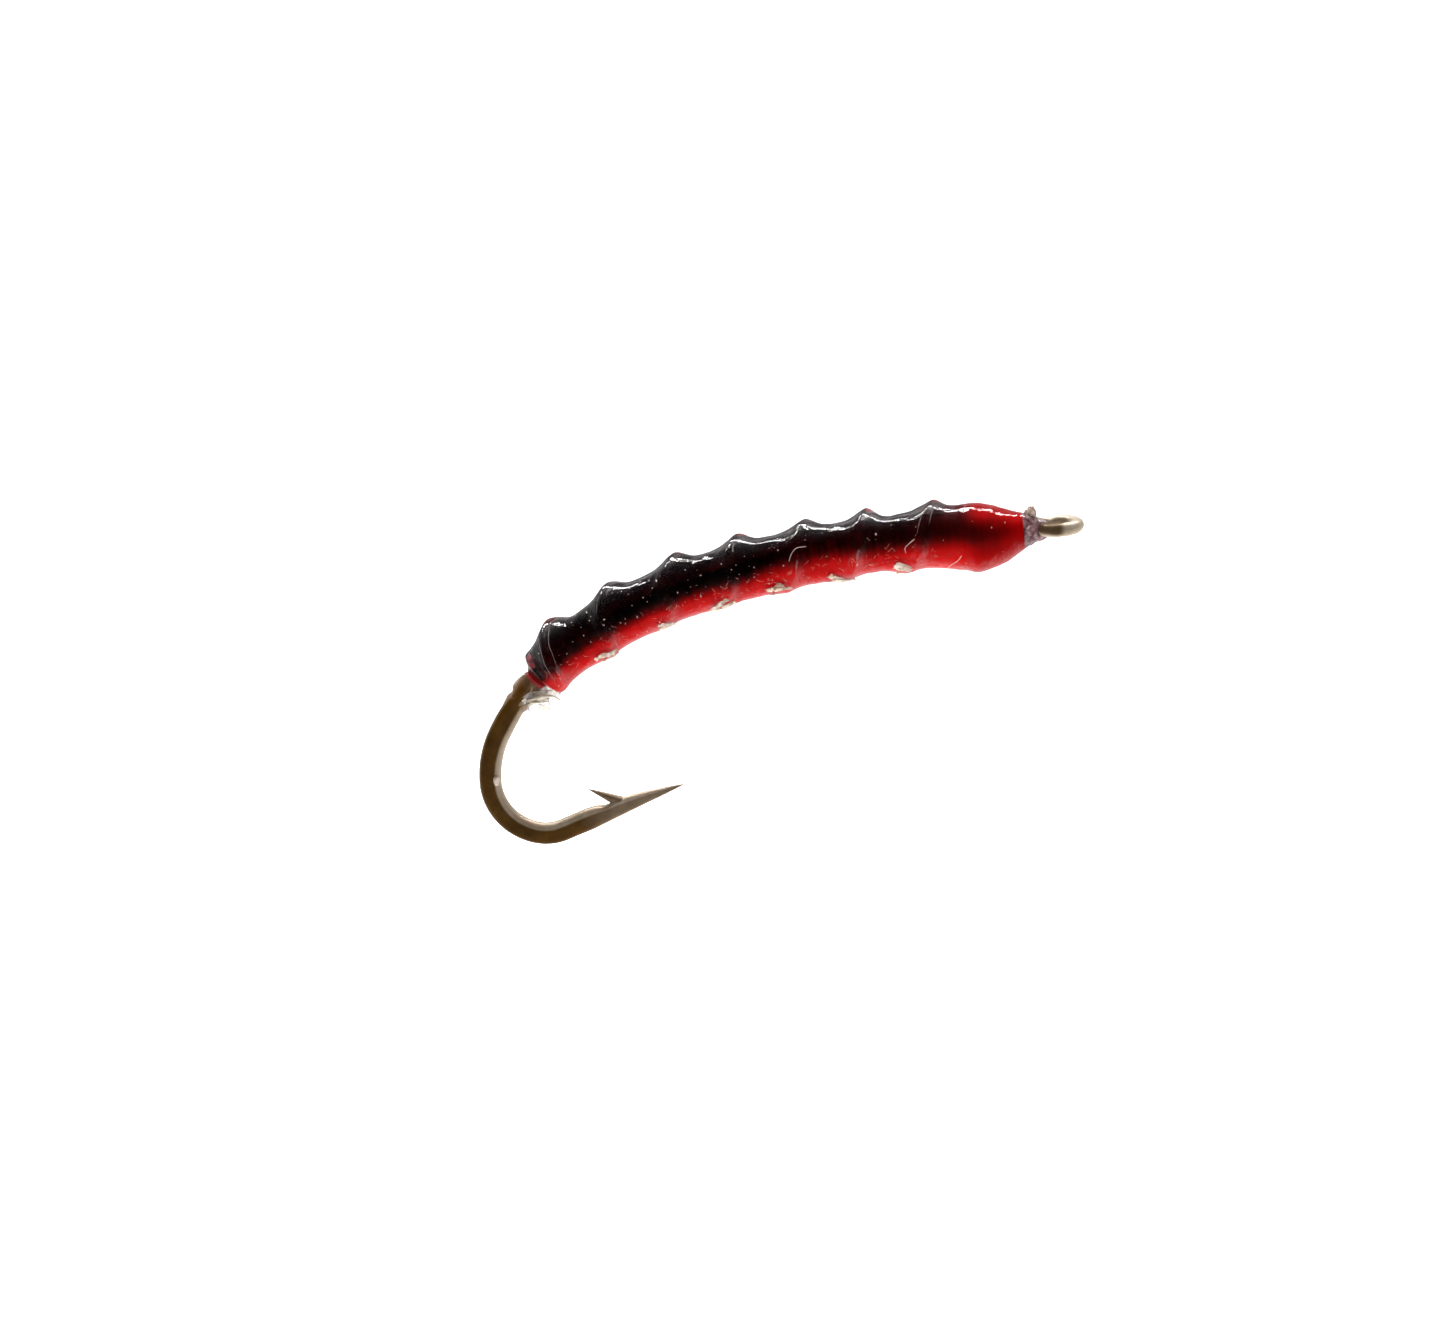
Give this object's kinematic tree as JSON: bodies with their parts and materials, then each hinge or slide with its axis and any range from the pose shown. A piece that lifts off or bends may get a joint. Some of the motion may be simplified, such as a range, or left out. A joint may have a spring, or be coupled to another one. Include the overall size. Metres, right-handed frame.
{
  "type": "fishing fly",
  "caption": "Bloodworm fly dressed on a single barbed hook with a curved shank: a red and black thread body under a clear open rib and resin, with a ring eye.",
  "frame": {"origin": "on the wire's centreline at the lowest point of the bend, where a clip or vice holds the fly", "axes": "+X towards the eye, +Z towards the back of the fly, +Y to the fly's far side, square to the plane of the bend"},
  "size_m": [0.017, 0.0022, 0.0101],
  "materials": {
    "bronze_steel": "bronze lacquer over forged steel wire",
    "red_thread": "waxed tying thread",
    "red_floss": "thread body soaked in resin",
    "black_strip": "thin dark strip under the film",
    "clear_film": "thin clear stretch film",
    "clear_strand": "clear monofilament",
    "clear_resin": "clear cured resin, wet gloss",
    "tan_butts": "trimmed and singed ends",
    "pale_fibre": "fine loose filament"
  },
  "bodies": {
    "root": {"hook": "bronze_steel", "thread_base": "red_thread", "head_wraps": "red_thread", "thorax_winding": "red_floss", "body_winding": "red_floss", "tail_wraps": "red_thread", "back_strip": "black_strip", "shell_film": "clear_film", "rib_strand": "clear_strand", "body_resin": "clear_resin", "thorax_resin": "clear_resin", "eye_resin": "clear_resin", "resin_run_out": "clear_resin", "resin_bead": "clear_resin", "film_tag": "clear_film", "butt_ends": "tan_butts", "stray_fibre_thorax": "pale_fibre", "stray_fibre_rib": "pale_fibre", "stray_fibre_back": "pale_fibre"}
  },
  "joints": []
}
